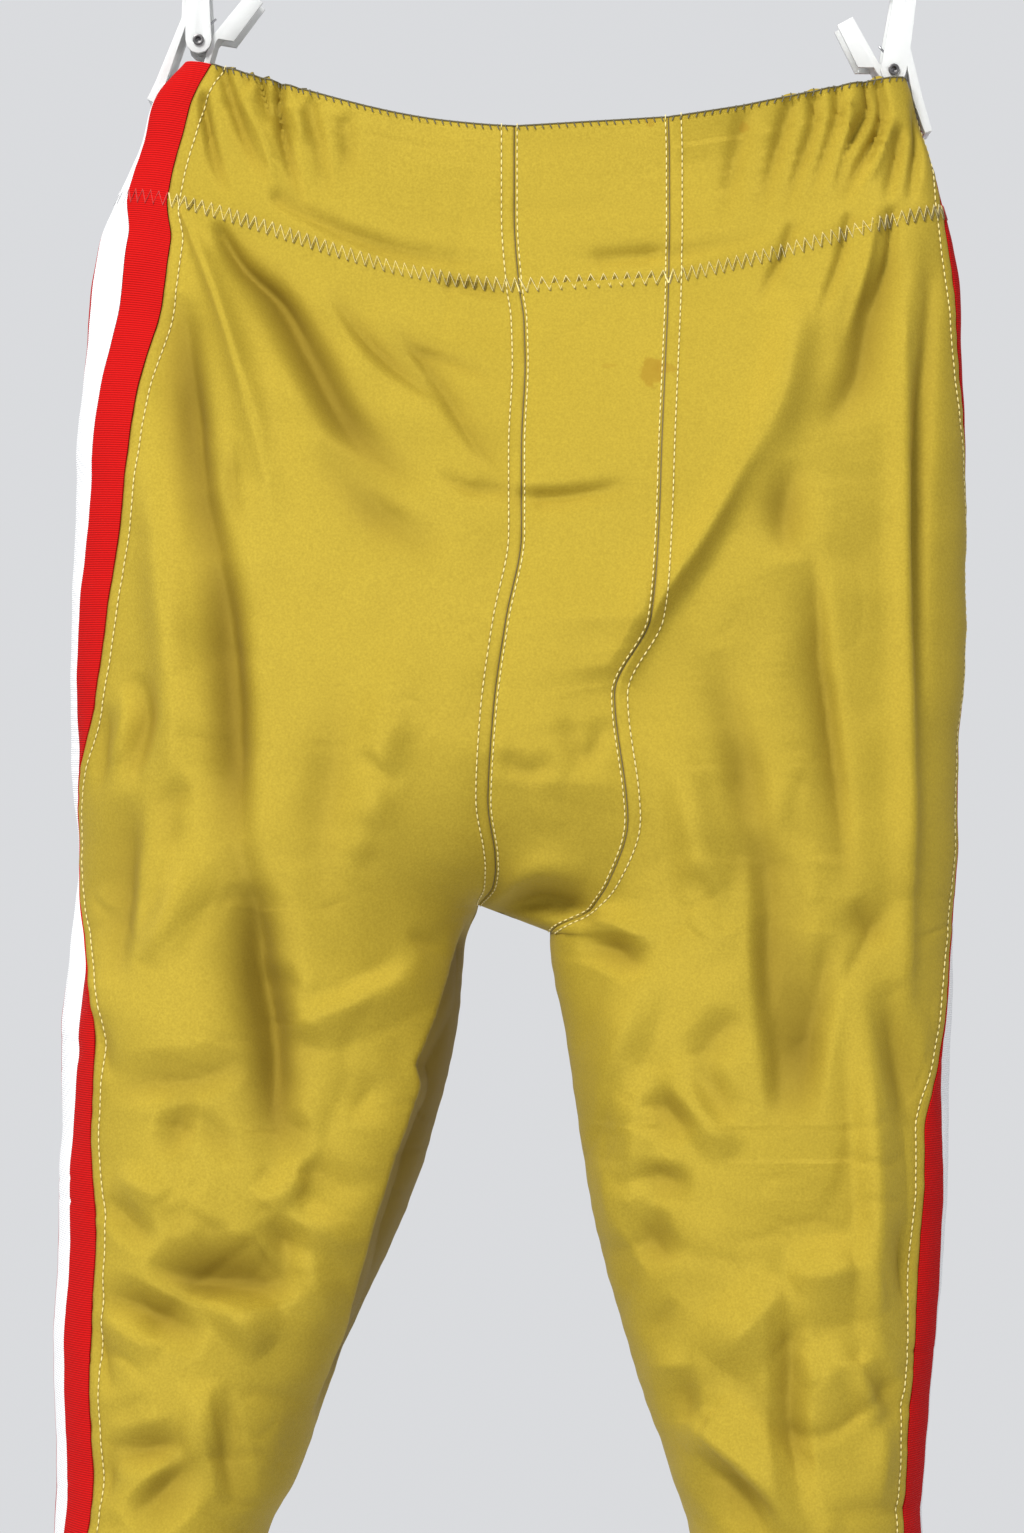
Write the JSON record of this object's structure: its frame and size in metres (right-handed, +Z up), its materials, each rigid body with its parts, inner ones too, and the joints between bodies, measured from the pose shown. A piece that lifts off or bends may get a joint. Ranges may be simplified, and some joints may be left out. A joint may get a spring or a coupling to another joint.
{
  "type": "football pants on a clip hanger",
  "caption": "Gold satin football pants with ribbed red and white side stripes, gathered elastic waist and gusseted centre panel, hanging from a clip hanger.",
  "frame": {"origin": "inside top of the hanger's hook, where it rests on a rail", "axes": "+Z up, -Y out of the garment's front, +X to the right of the picture"},
  "size_m": [0.3824, 0.1259, 0.9239],
  "materials": {
    "gold_satin": "shiny satin weave",
    "red_rib": "cross-ribbed knit",
    "white_rib": "cross-ribbed knit",
    "white_plastic": "moulded, slightly see-through white",
    "steel": "plain bright wire"
  },
  "bodies": {
    "root": {"waistband_back_left": "gold_satin", "waistband_left_back_red": "red_rib", "waistband_left_white": "white_rib", "waistband_left_front_red": "red_rib", "waistband_front_left": "gold_satin", "back_left": "gold_satin", "stripe_left_back_red": "red_rib", "stripe_left_white": "white_rib", "stripe_left_front_red": "red_rib", "front_left": "gold_satin", "clip_left_lever": "white_plastic", "clip_left_pin": "steel", "clip_left_spring": "steel", "waistband_back_right": "gold_satin", "waistband_right_back_red": "red_rib", "waistband_right_white": "white_rib", "waistband_right_front_red": "red_rib", "waistband_front_right": "gold_satin", "back_right": "gold_satin", "stripe_right_back_red": "red_rib", "stripe_right_white": "white_rib", "stripe_right_front_red": "red_rib", "front_right": "gold_satin", "clip_right_lever": "white_plastic", "clip_right_pin": "steel", "clip_right_spring": "steel", "waistband_centre": "gold_satin", "centre_panel": "gold_satin", "hanger_frame": "white_plastic", "hanger_hook": "steel"}
  },
  "joints": []
}
